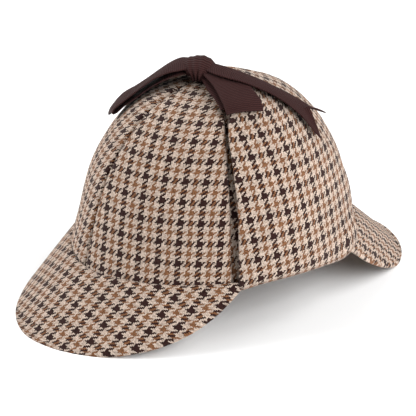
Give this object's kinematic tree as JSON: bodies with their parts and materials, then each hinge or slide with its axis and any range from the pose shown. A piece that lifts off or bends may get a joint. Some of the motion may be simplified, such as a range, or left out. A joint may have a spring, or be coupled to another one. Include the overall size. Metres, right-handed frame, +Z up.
{
  "type": "deerstalker hat",
  "caption": "Soft tweed cap with a peak in front and behind and ear flaps tied up over the crown with a ribbon bow.",
  "frame": {"origin": "middle of the hat's length and width, on the surface that its two peaks rest on", "axes": "+Z up, -Y towards the front peak, +X towards the wearer's left"},
  "size_m": [0.1818, 0.2863, 0.1521],
  "materials": {
    "tweed": "gun club check wool tweed in dark brown, tan and cream",
    "ribbon": "dark brown ribbed grosgrain ribbon with a low sheen"
  },
  "bodies": {
    "root": {"crown_front_left": "tweed", "crown_side_left": "tweed", "crown_rear_left": "tweed", "crown_rear_right": "tweed", "crown_side_right": "tweed", "crown_front_right": "tweed", "front_peak": "tweed", "rear_peak": "tweed", "left_ear_flap": "tweed", "right_ear_flap": "tweed", "bow_loop": "ribbon", "rear_tail": "ribbon", "near_tail": "ribbon", "left_flap_tie": "ribbon", "right_flap_tie": "ribbon", "knot": "ribbon"}
  },
  "joints": []
}
